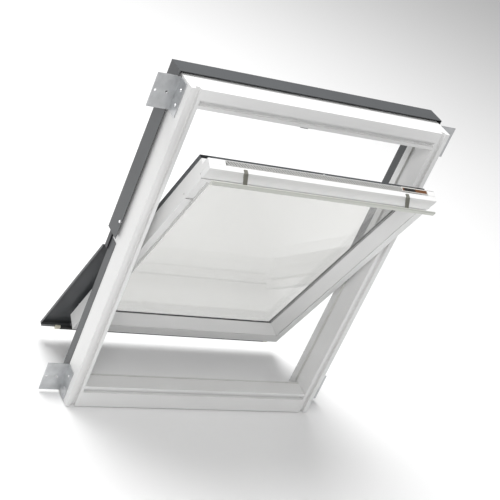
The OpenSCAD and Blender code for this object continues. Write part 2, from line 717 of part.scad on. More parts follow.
module flap() color(white) on_sash() difference() {
    union() {
        along_x(2 * sash_w) polygon([
            [flap_axis_z, 0], [sash_top_z, 0], [sash_top_z, flap_t], [flap_axis_z, flap_t]]);
        rod_x(-sash_w, sash_w, flap_axis_m, flap_axis_z, flap_t / 2);
    }
    for (side = [-1, 1]) {
        x = side * knuckle_x;
        rod_x(x - knuckle_w / 2 - 1, x + knuckle_w / 2 + 1, flap_axis_m, flap_axis_z, knuckle_r + 0.5);
        block([x - knuckle_w / 2 - 1, flap_axis_m - 1, flap_axis_z - flap_t],
              [x + knuckle_w / 2 + 1, flap_t + 1, flap_axis_z + 9]);
        rod_x(x - knuckle_w / 2 - 8, x + knuckle_w / 2 + 8, flap_axis_m, flap_axis_z, knuckle_pin_r + run);
    }
}

// Control bar: rounded aluminium profile across the sash
module control_bar() color([0.80, 0.81, 0.78]) on_sash() {
    r = bar_t / 2;
    m = -finger_gap - r;
    along_x(2 * (sash_w - bar_inset)) {
        translate([bar_z + r, m]) circle(r = r);
        translate([bar_z + bar_h - r, m]) circle(r = r);
        translate([bar_z + r, m - r]) square([bar_h - bar_t, bar_t]);
    }
}

// Bent straps from the flap's top edge to the back of the bar
module bar_brackets() color([0.45, 0.45, 0.40]) on_sash() for (side = [-1, 1])
    translate([side * bracket_span / 2, 0, 0]) along_x(strap_w) polygon([
        [sash_top_z, 9], [sash_top_z + 2, 9], [sash_top_z + 2, -3], [bar_z + bar_h - 2, -finger_gap],
        [bar_z, -finger_gap], [bar_z, -finger_gap + 2.5], [bar_z + bar_h - 5, -finger_gap + 2.5],
        [sash_top_z - 3, -fit], [sash_top_z - 3, 0], [sash_top_z, 0]]);

frame_left();
frame_right();
frame_top();
frame_bottom();
side_gaskets();
top_gasket();
bottom_gasket();
frame_hinge_left();
frame_hinge_right();
striker_plate();
fitting_screws();
bolt_bush();
upper_cover_left();
upper_cover_right();
top_hood();
lower_trim_left();
lower_trim_right();
sill_cover();
hinge_caps();
cover_screws();
bracket_top_left();
bracket_top_right();
bracket_bottom_left();
bracket_bottom_right();
bracket_screws();
sash_left();
sash_right();
sash_top();
sash_bottom();
inner_pane();
outer_pane();
spacer_bar();
bedding_seal();
setting_blocks();
cover_gasket();
sash_hinge_left();
sash_hinge_right();
friction_pads();
sash_hinge_screws();
lock_case();
vent_filter();
vent_grille();
top_flashing();
data_plate();
flap_knuckles();
flap_pins();
side_cover_left();
side_cover_right();
side_trim_left();
side_trim_right();
top_cover();
bottom_cover();
sweep_seal();
corner_blocks();
sash_cover_screws();
flap();
control_bar();
bar_brackets();
latch_bolt();
barrel_bolt();
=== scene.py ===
import json
import math

import bmesh
import bpy
from mathutils import Matrix, Vector

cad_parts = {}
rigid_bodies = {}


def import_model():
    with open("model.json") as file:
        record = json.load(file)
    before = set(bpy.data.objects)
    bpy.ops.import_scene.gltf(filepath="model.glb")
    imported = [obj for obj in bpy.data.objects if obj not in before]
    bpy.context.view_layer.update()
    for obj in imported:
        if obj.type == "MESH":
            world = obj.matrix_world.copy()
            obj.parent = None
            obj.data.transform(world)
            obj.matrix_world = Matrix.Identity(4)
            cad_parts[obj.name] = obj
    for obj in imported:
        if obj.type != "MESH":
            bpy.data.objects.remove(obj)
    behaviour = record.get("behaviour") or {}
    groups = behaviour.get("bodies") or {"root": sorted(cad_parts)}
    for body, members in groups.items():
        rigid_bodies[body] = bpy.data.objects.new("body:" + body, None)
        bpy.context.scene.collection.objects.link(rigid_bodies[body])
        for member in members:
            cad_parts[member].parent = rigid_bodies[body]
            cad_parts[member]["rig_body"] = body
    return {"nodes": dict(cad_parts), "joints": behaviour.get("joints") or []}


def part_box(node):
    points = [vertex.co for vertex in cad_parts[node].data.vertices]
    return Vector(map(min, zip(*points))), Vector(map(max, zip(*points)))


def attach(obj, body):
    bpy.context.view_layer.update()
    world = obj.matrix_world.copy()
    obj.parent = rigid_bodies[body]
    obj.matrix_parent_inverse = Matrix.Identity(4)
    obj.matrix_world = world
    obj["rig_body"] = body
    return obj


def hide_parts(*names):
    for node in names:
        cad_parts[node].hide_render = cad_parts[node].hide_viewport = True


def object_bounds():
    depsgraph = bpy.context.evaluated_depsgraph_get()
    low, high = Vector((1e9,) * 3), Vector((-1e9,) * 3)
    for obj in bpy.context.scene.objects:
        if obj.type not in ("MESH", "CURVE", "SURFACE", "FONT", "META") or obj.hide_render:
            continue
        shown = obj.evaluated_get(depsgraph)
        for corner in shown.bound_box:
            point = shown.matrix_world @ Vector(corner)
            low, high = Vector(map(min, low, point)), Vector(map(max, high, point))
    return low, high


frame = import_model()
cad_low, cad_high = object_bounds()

# ---------------------------------------------------------------- camera
# A long lens from the room, left of the window and above its middle.
eye = Vector((-1.6686, -2.3221, 1.5010))
right = Vector((0.85066, -0.37629, 0.36712))
up = Vector((-0.09267, 0.58005, 0.80929))
back = -Vector((0.51748, 0.72246, -0.45855))
camera_data = bpy.data.cameras.new("room_camera")
camera_data.lens, camera_data.sensor_width = 86.18, 36.0
camera = bpy.data.objects.new("room_camera", camera_data)
camera.matrix_world = Matrix((
    (right.x, up.x, back.x, eye.x), (right.y, up.y, back.y, eye.y),
    (right.z, up.z, back.z, eye.z), (0, 0, 0, 1)))
bpy.context.scene.collection.objects.link(camera)
bpy.context.scene.camera = camera

# ---------------------------------------------------------------- floor and light
# A plain pale studio floor, one large soft lamp above and behind the window, two weaker ones on
# the room side, and an even white surround. Tones are shown as they are lit.
bpy.context.scene.view_settings.view_transform = "Standard"
floor_mesh = bpy.data.meshes.new("studio_floor")
low = cad_low.z - 0.002
floor_mesh.from_pydata([(-14, -14, low), (14, -14, low), (14, 14, low), (-14, 14, low)], [], [(0, 1, 2, 3)])
floor = bpy.data.objects.new("studio_floor", floor_mesh)
bpy.context.scene.collection.objects.link(floor)
paint = bpy.data.materials.new("studio_floor")
paint.use_nodes = True
floor_shader = paint.node_tree.nodes["Principled BSDF"]
floor_shader.inputs["Base Color"].default_value = (0.93, 0.93, 0.93, 1)
floor_shader.inputs["Roughness"].default_value = 0.9
floor_shader.inputs["Specular IOR Level"].default_value = 0.1
floor_mesh.materials.append(paint)

world = bpy.data.worlds.new("studio")
world.use_nodes = True
world.node_tree.nodes["Background"].inputs["Color"].default_value = (1, 1, 1, 1)
world.node_tree.nodes["Background"].inputs["Strength"].default_value = 0.36
bpy.context.scene.world = world


def soft_lamp(name, place, aim, size, power):
    lamp = bpy.data.lights.new(name, "AREA")
    lamp.shape, lamp.size, lamp.energy = "DISK", size, power
    holder = bpy.data.objects.new(name, lamp)
    holder.location = place
    holder.rotation_euler = (Vector(aim) - Vector(place)).to_track_quat("-Z", "Y").to_euler()
    bpy.context.scene.collection.objects.link(holder)


soft_lamp("sky_lamp", (-0.6, 1.6, 4.2), (0, 0, 0), 3.5, 240)
soft_lamp("room_lamp", (-3.4, -3.0, 0.6), (0, 0, 0), 3.0, 12)
soft_lamp("ceiling_lamp", (-1.6, -2.4, 3.0), (0, 0, -0.3), 1.6, 55)

# ---------------------------------------------------------------- frame members
# Four members of laminated timber in a sprayed white lacquer, glued and screwed at the corners.
# Each arris is eased, so that the lacquer holds and the edge takes the light.


def finish(name, colour, metallic=0.0, rough=(0.35, 0.45), tone=0.02, tone_scale=6.0, grain=900.0,
           relief=0.00004, stretch=(1, 1, 1)):
    """A surface whose tone, gloss and fine relief vary a little, by noise laid through the object."""
    made = bpy.data.materials.new(name)
    made.use_nodes = True
    nodes, links = made.node_tree.nodes, made.node_tree.links
    shader = nodes["Principled BSDF"]
    shader.inputs["Metallic"].default_value = metallic
    place = nodes.new("ShaderNodeTexCoord")
    turned = nodes.new("ShaderNodeMapping")
    turned.inputs["Scale"].default_value = stretch
    links.new(place.outputs["Object"], turned.inputs["Vector"])
    clouds = nodes.new("ShaderNodeTexNoise")
    clouds.inputs["Scale"].default_value, clouds.inputs["Detail"].default_value = tone_scale, 3.0
    links.new(turned.outputs["Vector"], clouds.inputs["Vector"])
    ramp = nodes.new("ShaderNodeValToRGB")
    ramp.color_ramp.elements[0].position, ramp.color_ramp.elements[1].position = 0.3, 0.7
    ramp.color_ramp.elements[0].color = (*(max(0, c * (1 - tone)) for c in colour), 1)
    ramp.color_ramp.elements[1].color = (*(min(1, c * (1 + tone)) for c in colour), 1)
    links.new(clouds.outputs["Fac"], ramp.inputs["Fac"])
    links.new(ramp.outputs["Color"], shader.inputs["Base Color"])
    fine = nodes.new("ShaderNodeTexNoise")
    fine.inputs["Scale"].default_value, fine.inputs["Detail"].default_value = grain, 2.0
    links.new(turned.outputs["Vector"], fine.inputs["Vector"])
    gloss = nodes.new("ShaderNodeMapRange")
    gloss.inputs["To Min"].default_value, gloss.inputs["To Max"].default_value = rough
    links.new(fine.outputs["Fac"], gloss.inputs["Value"])
    links.new(gloss.outputs["Result"], shader.inputs["Roughness"])
    bump = nodes.new("ShaderNodeBump")
    bump.inputs["Strength"].default_value = 0.5
    bump.inputs["Distance"].default_value = relief
    links.new(fine.outputs["Fac"], bump.inputs["Height"])
    links.new(bump.outputs["Normal"], shader.inputs["Normal"])
    return made


def eased(node, name, radius, material, segments=2):
    """The CAD piece with its arrises rounded by radius (mm), in place of the node."""
    shape = bmesh.new()
    shape.from_mesh(frame["nodes"][node].data)
    bmesh.ops.remove_doubles(shape, verts=shape.verts, dist=2e-6)
    bmesh.ops.dissolve_limit(shape, angle_limit=0.01, verts=shape.verts, edges=shape.edges)
    bmesh.ops.recalc_face_normals(shape, faces=shape.faces)
    mesh = bpy.data.meshes.new(name)
    for face in shape.faces:
        face.smooth = True
        face.material_index = 0
    shape.to_mesh(mesh)
    shape.free()
    for left_over in ("custom_normal", "sharp_edge", "sharp_face"):
        if left_over in mesh.attributes:
            mesh.attributes.remove(mesh.attributes[left_over])
    mesh.materials.append(material)
    piece = bpy.data.objects.new(name, mesh)
    bpy.context.scene.collection.objects.link(piece)
    rounding = piece.modifiers.new("rounding", "BEVEL")
    rounding.width, rounding.segments = radius / 1000, segments
    rounding.limit_method, rounding.angle_limit = "ANGLE", math.radians(33)
    rounding.use_clamp_overlap = True
    rounding.harden_normals = True
    rounding.miter_outer = "MITER_ARC"
    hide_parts(node)
    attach(piece, frame["nodes"][node]["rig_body"])
    return piece


frame_lacquer = finish("frame_lacquer", (0.80, 0.80, 0.795), rough=(0.28, 0.36), tone=0.012)
for node in ("frame_left", "frame_right", "frame_top", "frame_bottom"):
    eased(node, node.replace("frame", "frame_member"), 0.9, frame_lacquer)

# ---------------------------------------------------------------- frame seals
# Extruded lips of pale rubber, pushed into the grooves round the opening and along the sill.
# The foot fills the groove, and the lip curls towards the sash.


def extruded(name, outline, axis, start, end, material):
    """A closed outline (mm), as (x, y) along Z or (z, y) along X, carried from start to end (mm)."""
    shape = bmesh.new()
    rings = []
    for far in (start, end):
        at = [(a, b, far) if axis == "Z" else (far, b, a) for a, b in outline]
        rings.append([shape.verts.new(Vector(p) / 1000) for p in at])
    count = len(outline)
    for i in range(count):
        shape.faces.new((rings[0][i], rings[0][(i + 1) % count], rings[1][(i + 1) % count], rings[1][i]))
    shape.faces.new(rings[0])
    shape.faces.new(rings[1])
    bmesh.ops.recalc_face_normals(shape, faces=shape.faces)
    mesh = bpy.data.meshes.new(name)
    shape.to_mesh(mesh)
    shape.free()
    mesh.materials.append(material)
    piece = bpy.data.objects.new(name, mesh)
    bpy.context.scene.collection.objects.link(piece)
    return piece


def joined(name, pieces):
    """Several meshes as one piece."""
    shape = bmesh.new()
    for piece in pieces:
        shape.from_mesh(piece.data)
    mesh = bpy.data.meshes.new(name)
    shape.to_mesh(mesh)
    shape.free()
    mesh.materials.append(pieces[0].data.materials[0])
    for piece in pieces:
        bpy.data.objects.remove(piece)
    whole = bpy.data.objects.new(name, mesh)
    bpy.context.scene.collection.objects.link(whole)
    return whole


def lip(root, proud, middle, side):
    """Outline of a seal whose foot lies at root and whose curled lip stands proud of it."""
    foot_end, half_foot = root + side * 3.4, 2.6
    foot = [(root, middle - half_foot), (foot_end, middle - half_foot), (foot_end, middle + half_foot),
            (root, middle + half_foot)]
    turns = [math.radians(15 * step) for step in range(7)]
    outer = [(root - side * proud * math.sin(t), middle + 1.3 - 1.7 * (1 - math.cos(t))) for t in turns]
    inner = [(root - side * (proud - 0.9) * math.sin(t), middle + 0.1 - 1.5 * (1 - math.cos(t)))
             for t in reversed(turns)]
    return foot + [(root, middle + 1.3)] + outer[1:] + inner


pale_rubber = finish("pale_rubber", (0.62, 0.62, 0.60), rough=(0.5, 0.65), tone=0.03, grain=1500)
side_low, side_high = (v * 1000 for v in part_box("side_gaskets"))
foot_depth, lip_proud, pivot_gap = 3.7, 5.0, 50
seals = []
for side in (-1, 1):
    root = side * (side_high.x - foot_depth)
    for z0, z1 in ((side_low.z, -pivot_gap), (pivot_gap, side_high.z)):
        outline = lip(root, lip_proud, (side_low.y + side_high.y) / 2, side)
        seals.append(extruded("lip", outline, "Z", z0, z1, pale_rubber))
side_seals = joined("side_seals", seals)
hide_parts("side_gaskets")
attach(side_seals, "frame")

top_low, top_high = (v * 1000 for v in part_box("top_gasket"))
top_outline = lip(top_high.z - foot_depth, lip_proud, (top_low.y + top_high.y) / 2, 1)
top_seal = extruded("top_seal", top_outline, "X", top_low.x, top_high.x, pale_rubber)
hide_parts("top_gasket")
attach(top_seal, "frame")
eased("bottom_gasket", "sill_seal", 0.5, pale_rubber)

# ---------------------------------------------------------------- pivot plates and corner brackets
# Pressed steel, zinc plated. The plates carry the eyes and pins that the sash turns on, and the
# angles at the corners fix the frame to the roof battens.
zinc = finish("zinc_plate", (0.56, 0.57, 0.58), 1.0, (0.28, 0.5), 0.10, 45, 260, 0.00002)
for node in ("frame_hinge_left", "frame_hinge_right"):
    eased(node, node.replace("hinge", "pivot_plate"), 0.4, zinc)
for node in ("bracket_top_left", "bracket_top_right", "bracket_bottom_left", "bracket_bottom_right"):
    eased(node, node.replace("bracket", "corner_angle"), 0.5, zinc)

# ---------------------------------------------------------------- striker and bolt bush
# A folded steel strap under the top member takes the latch bolt, and a turned plastic bush in the
# left member holds the barrel bolt while the sash is turned over for cleaning.


def turned(name, outline, start, axis, material, steps=32):
    """A lathe piece: outline is (distance along the axis, radius) in mm, from start (mm) along axis."""
    axis = Vector(axis).normalized()
    across = axis.orthogonal().normalized()
    third = axis.cross(across)
    shape = bmesh.new()
    rings = []
    for along, radius in outline:
        centre = Vector(start) + axis * along
        if radius < 1e-6:
            rings.append([shape.verts.new(centre / 1000)])
        else:
            turns = [2 * math.pi * i / steps for i in range(steps)]
            spots = [centre + radius * (across * math.cos(t) + third * math.sin(t)) for t in turns]
            rings.append([shape.verts.new(spot / 1000) for spot in spots])
    for a, b in zip(rings, rings[1:] + ([rings[0]] if len(rings[0]) > 1 else [])):
        for i in range(steps):
            j = (i + 1) % steps
            corners = [a[i % len(a)], a[j % len(a)], b[j % len(b)], b[i % len(b)]]
            corners = [c for k, c in enumerate(corners) if c not in corners[:k]]
            if len(corners) > 2:
                shape.faces.new(corners)
    bmesh.ops.recalc_face_normals(shape, faces=shape.faces)
    mesh = bpy.data.meshes.new(name)
    shape.to_mesh(mesh)
    shape.free()
    mesh.shade_smooth()
    mesh.set_sharp_from_angle(angle=math.radians(32))
    mesh.materials.append(material)
    piece = bpy.data.objects.new(name, mesh)
    bpy.context.scene.collection.objects.link(piece)
    return piece


eased("striker_plate", "striker_strap", 0.4, zinc)
pale_plastic = finish("pale_plastic", (0.56, 0.56, 0.55), rough=(0.3, 0.45), tone=0.03, grain=700)
bush_low, bush_high = (v * 1000 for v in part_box("bolt_bush"))
bush_outline = [(0, 3.4), (0, 4.0), (0.5, 4.45), (7, 4.45), (7, 8.0), (14.6, 8.0), (16, 6.6), (16, 4.4),
                (15, 3.4), (1, 3.4)]
bush_start = (bush_low.x, (bush_low.y + bush_high.y) / 2, (bush_low.z + bush_high.z) / 2)
bush = turned("barrel_bolt_bush", bush_outline, bush_start, (1, 0, 0), pale_plastic)
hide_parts("bolt_bush")
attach(bush, "frame")

# ---------------------------------------------------------------- frame covers
# Folded aluminium, lacquered dark grey: two side covers and the hood over the upper half, flat
# trims beside the sash on the lower half, and an apron on the sill.
cover_lacquer = finish("cover_lacquer", (0.062, 0.066, 0.070), 0.0, (0.34, 0.46), 0.06, 9, 1400, 0.00003)
for node, name in (("upper_cover_left", "side_cover_upper_left"),
                   ("upper_cover_right", "side_cover_upper_right"), ("top_hood", "hood"),
                   ("lower_trim_left", "side_trim_lower_left"),
                   ("lower_trim_right", "side_trim_lower_right"), ("sill_cover", "sill_apron")):
    eased(node, name, 0.45, cover_lacquer)
dark_plastic = finish("dark_plastic", (0.05, 0.05, 0.055), 0.0, (0.4, 0.55), 0.05, 20, 1100, 0.00006)
eased("hinge_caps", "pivot_caps", 1.2, dark_plastic, 3)

# ---------------------------------------------------------------- screws
# Bright zinc screws with a cross recess. They hold the pivot plates, the striker, the covers and
# the corner angles to the frame, and the pivot plates and covers to the sash.


def screw_tree():
    """Puts a screw at each point, with its head along the point's aim."""
    tree = bpy.data.node_groups.new("screws", "GeometryNodeTree")
    face = tree.interface
    face.new_socket("Geometry", in_out="INPUT", socket_type="NodeSocketGeometry")
    for label, value in (("Head Radius", 0.004), ("Head Height", 0.0022), ("Shank Radius", 0.0019),
                         ("Shank Length", 0.018), ("Recess", 0.0013)):
        face.new_socket(label, in_out="INPUT", socket_type="NodeSocketFloat").default_value = value
    face.new_socket("Finish", in_out="INPUT", socket_type="NodeSocketMaterial")
    face.new_socket("Geometry", in_out="OUTPUT", socket_type="NodeSocketGeometry")
    nodes, links = tree.nodes, tree.links
    given, out = nodes.new("NodeGroupInput"), nodes.new("NodeGroupOutput")

    def share(value, factor):
        node = nodes.new("ShaderNodeMath")
        node.operation = "MULTIPLY"
        links.new(value, node.inputs[0])
        node.inputs[1].default_value = factor
        return node.outputs[0]

    def lifted(mesh, height):
        move = nodes.new("GeometryNodeTransform")
        spot = nodes.new("ShaderNodeCombineXYZ")
        links.new(height, spot.inputs["Z"])
        links.new(mesh, move.inputs["Geometry"])
        links.new(spot.outputs[0], move.inputs["Translation"])
        return move.outputs["Geometry"]

    flat_top, arm_length, arm_width = 0.72, 1.05, 0.22
    head = nodes.new("GeometryNodeMeshCone")
    head.inputs["Vertices"].default_value = 24
    links.new(share(given.outputs["Head Radius"], flat_top), head.inputs["Radius Top"])
    links.new(given.outputs["Head Radius"], head.inputs["Radius Bottom"])
    links.new(given.outputs["Head Height"], head.inputs["Depth"])
    shank = nodes.new("GeometryNodeMeshCylinder")
    shank.inputs["Vertices"].default_value = 12
    links.new(given.outputs["Shank Radius"], shank.inputs["Radius"])
    links.new(given.outputs["Shank Length"], shank.inputs["Depth"])
    cut = nodes.new("GeometryNodeMeshBoolean")
    cut.operation = "DIFFERENCE"
    links.new(head.outputs["Mesh"], cut.inputs["Mesh 1"])
    for across, along in ((arm_width, arm_length), (arm_length, arm_width)):
        arm = nodes.new("GeometryNodeMeshCube")
        size = nodes.new("ShaderNodeCombineXYZ")
        links.new(share(given.outputs["Head Radius"], across), size.inputs["X"])
        links.new(share(given.outputs["Head Radius"], along), size.inputs["Y"])
        links.new(share(given.outputs["Recess"], 2.0), size.inputs["Z"])
        links.new(size.outputs[0], arm.inputs["Size"])
        links.new(lifted(arm.outputs["Mesh"], given.outputs["Head Height"]), cut.inputs["Mesh 2"])
    whole = nodes.new("GeometryNodeJoinGeometry")
    links.new(cut.outputs["Mesh"], whole.inputs[0])
    just_in_head = share(given.outputs["Shank Length"], -0.498)
    links.new(lifted(shank.outputs["Mesh"], just_in_head), whole.inputs[0])
    aim = nodes.new("GeometryNodeInputNamedAttribute")
    aim.data_type = "FLOAT_VECTOR"
    aim.inputs["Name"].default_value = "aim"
    turn = nodes.new("FunctionNodeAlignRotationToVector")
    turn.axis = "Z"
    links.new(aim.outputs["Attribute"], turn.inputs["Vector"])
    place = nodes.new("GeometryNodeInstanceOnPoints")
    links.new(given.outputs["Geometry"], place.inputs["Points"])
    links.new(whole.outputs[0], place.inputs["Instance"])
    links.new(turn.outputs["Rotation"], place.inputs["Rotation"])
    real = nodes.new("GeometryNodeRealizeInstances")
    links.new(place.outputs["Instances"], real.inputs["Geometry"])
    coat = nodes.new("GeometryNodeSetMaterial")
    links.new(real.outputs["Geometry"], coat.inputs["Geometry"])
    links.new(given.outputs["Finish"], coat.inputs["Material"])
    links.new(coat.outputs["Geometry"], out.inputs["Geometry"])
    return tree


def grown(name, points, tree, values, aims=None):
    """Runs a tree on points (mm) and keeps what it makes as a plain mesh."""
    seed_mesh = bpy.data.meshes.new(name + "_points")
    seed_mesh.from_pydata([Vector(p) / 1000 for p in points], [], [])
    if aims:
        field = seed_mesh.attributes.new("aim", "FLOAT_VECTOR", "POINT")
        field.data.foreach_set("vector", [c for a in aims for c in a])
    seed = bpy.data.objects.new(name + "_points", seed_mesh)
    bpy.context.scene.collection.objects.link(seed)
    maker = seed.modifiers.new("maker", "NODES")
    maker.node_group = tree
    for socket in tree.interface.items_tree:
        if socket.in_out == "INPUT" and socket.name in values:
            maker[socket.identifier] = values[socket.name]
    bpy.context.view_layer.update()
    mesh = bpy.data.meshes.new_from_object(seed.evaluated_get(bpy.context.evaluated_depsgraph_get()))
    mesh.name = name
    seed.modifiers.remove(maker)
    bpy.data.objects.remove(seed)
    if "aim" in mesh.attributes:
        mesh.attributes.remove(mesh.attributes["aim"])
    piece = bpy.data.objects.new(name, mesh)
    bpy.context.scene.collection.objects.link(piece)
    return piece


screw_zinc = finish("screw_zinc", (0.66, 0.66, 0.67), 1.0, (0.22, 0.36), 0.05, 60, 1800, 0.00001)
screws = screw_tree()
pivot = next(j for j in frame["joints"] if j["name"] == "sash_pivot")
lean = Matrix.Rotation(math.radians(-pivot["range_deg"][0]), 3, "X")
screw_axes = (Vector((1, 0, 0)), Vector((0, 1, 0)), Vector((0, 0, 1)), lean @ Vector((0, 1, 0)))
head_height = 0.0022


def screws_for(node, name, length):
    """A screw wherever the CAD node has one: each loose solid gives its head's place and its aim."""
    shape = bmesh.new()
    shape.from_mesh(frame["nodes"][node].data)
    bmesh.ops.remove_doubles(shape, verts=shape.verts, dist=2e-6)
    points, aims, seen = [], [], set()
    for first in shape.verts:
        if first in seen:
            continue
        group, todo = [], [first]
        seen.add(first)
        while todo:
            vertex = todo.pop()
            group.append(vertex.co.copy())
            for edge in vertex.link_edges:
                other = edge.other_vert(vertex)
                if other not in seen:
                    seen.add(other)
                    todo.append(other)
        middle = sum(group, Vector()) / len(group)
        axis = max(screw_axes, key=lambda a: max(p.dot(a) for p in group) - min(p.dot(a) for p in group))
        reach = [p.dot(axis) for p in group]
        centre = middle - axis * middle.dot(axis)
        ends = []
        for end, sign in ((max(reach), 1), (min(reach), -1)):
            wide = max((p - centre - axis * end).length for p in group if abs(p.dot(axis) - end) < 1e-5)
            ends.append((wide, sign, end))
        wide, sign, end = max(ends)
        points.append((centre + axis * (end - sign * head_height)) * 1000)
        aims.append(axis * sign)
    shape.free()
    sizes = {"Head Height": head_height, "Shank Length": length, "Finish": screw_zinc}
    piece = grown(name, points, screws, sizes, aims)
    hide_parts(node)
    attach(piece, frame["nodes"][node]["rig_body"])


screws_for("fitting_screws", "pivot_and_striker_screws", 0.017)
screws_for("cover_screws", "cover_screws_frame", 0.024)
screws_for("bracket_screws", "corner_angle_screws", 0.023)
screws_for("sash_hinge_screws", "sash_pivot_screws", 0.014)
screws_for("sash_cover_screws", "cover_screws_sash", 0.026)

# ---------------------------------------------------------------- sash members
# Four members of the same lacquered timber, mitred at the lower corners. A flat face, a fine
# groove and a long slope lead down to the glass.
# The sash lacquer is the frame's lacquer made a little darker: painted shade for the sash and the flap,
# which face the room and take less light.
sash_lacquer_painted_shade = finish("sash_lacquer_painted_shade", (0.76, 0.76, 0.755), rough=(0.26, 0.34), tone=0.012)
for node in ("sash_left", "sash_right", "sash_top", "sash_bottom"):
    eased(node, node.replace("sash", "sash_member"), 0.6, sash_lacquer_painted_shade)

# ---------------------------------------------------------------- glass unit
# Two float panes on a spacer bar, bedded on black sealant and carried by two packers.
glass = bpy.data.materials.new("float_glass")
glass.use_nodes = True
glass_nodes, glass_links = glass.node_tree.nodes, glass.node_tree.links
clear = glass_nodes["Principled BSDF"]
clear.inputs["Base Color"].default_value = (0.855, 0.855, 0.845, 1)
clear.inputs["Transmission Weight"].default_value = 1.0
clear.inputs["IOR"].default_value = 1.5
glass_place = glass_nodes.new("ShaderNodeTexCoord")
film = glass_nodes.new("ShaderNodeTexNoise")
film.inputs["Scale"].default_value = 3.0
film_gloss = glass_nodes.new("ShaderNodeMapRange")
film_gloss.inputs["To Min"].default_value, film_gloss.inputs["To Max"].default_value = 0.0, 0.03
glass_links.new(glass_place.outputs["Object"], film.inputs["Vector"])
glass_links.new(film.outputs["Fac"], film_gloss.inputs["Value"])
glass_links.new(film_gloss.outputs["Result"], clear.inputs["Roughness"])
for node in ("inner_pane", "outer_pane"):
    frame["nodes"][node].data.materials.clear()
    frame["nodes"][node].data.materials.append(glass)
spacer_metal = finish("spacer_metal", (0.72, 0.73, 0.74), 1.0, (0.4, 0.55), 0.08, 30, 500, 0.00003)
eased("spacer_bar", "glass_spacer", 0.3, spacer_metal)
rubber = finish("black_rubber", (0.022, 0.022, 0.023), rough=(0.55, 0.75), tone=0.15, grain=1500,
                relief=0.00005)
eased("bedding_seal", "glass_bedding", 0.3, rubber)
eased("cover_gasket", "outer_glass_seal", 0.3, rubber)
packer = finish("packer_plastic", (0.06, 0.16, 0.28), 0.0, (0.35, 0.5), 0.05, 20, 900)
eased("setting_blocks", "glass_packers", 0.4, packer)

# ---------------------------------------------------------------- sash pivots and lock
# Steel plates with the pivot pins on the sash's sides, fibre pads that brake the turn, and the
# lock case let into the top ledge, with its round latch bolt.
for node in ("sash_hinge_left", "sash_hinge_right"):
    eased(node, node.replace("hinge", "pivot_plate"), 0.4, zinc)
eased("friction_pads", "brake_pads", 0.5, dark_plastic)
eased("lock_case", "lock_case_shell", 0.4, zinc)
bolt_axis = lean @ Vector((0, 0, 1))
bolt_points = [v.co.copy() for v in frame["nodes"]["latch_bolt"].data.vertices]
bolt_middle = sum(bolt_points, Vector()) / len(bolt_points)
bolt_reach = [p.dot(bolt_axis) for p in bolt_points]
bolt_start = (bolt_middle + bolt_axis * (min(bolt_reach) - bolt_middle.dot(bolt_axis))) * 1000
bolt_length = (max(bolt_reach) - min(bolt_reach)) * 1000
bolt_outline = [(0, 0), (0, 3.4), (0.6, 4.0), (bolt_length - 3.0, 4.0), (bolt_length - 0.8, 3.0),
                (bolt_length - 0.2, 1.8), (bolt_length, 0)]
latch = turned("latch_bolt_round", bolt_outline, bolt_start, bolt_axis, zinc)
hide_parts("latch_bolt")
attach(latch, "latch")

# ---------------------------------------------------------------- vent
# Above the top member lies a strip of open foam, and over it a moulded louvre with slanted ribs,
# which lets air through when the flap is open.
pivot_at = Vector(pivot["pos_m"])
closed = Matrix.Translation(pivot_at) @ lean.to_4x4() @ Matrix.Translation(-pivot_at)
unclosed = closed.inverted()


def closed_box(node):
    """Lowest and highest corner of a sash node (mm), with the sash turned back into the frame."""
    at = [unclosed @ v.co * 1000 for v in frame["nodes"][node].data.vertices]
    return tuple(Vector([pick(p[i] for p in at) for i in range(3)]) for pick in (min, max))


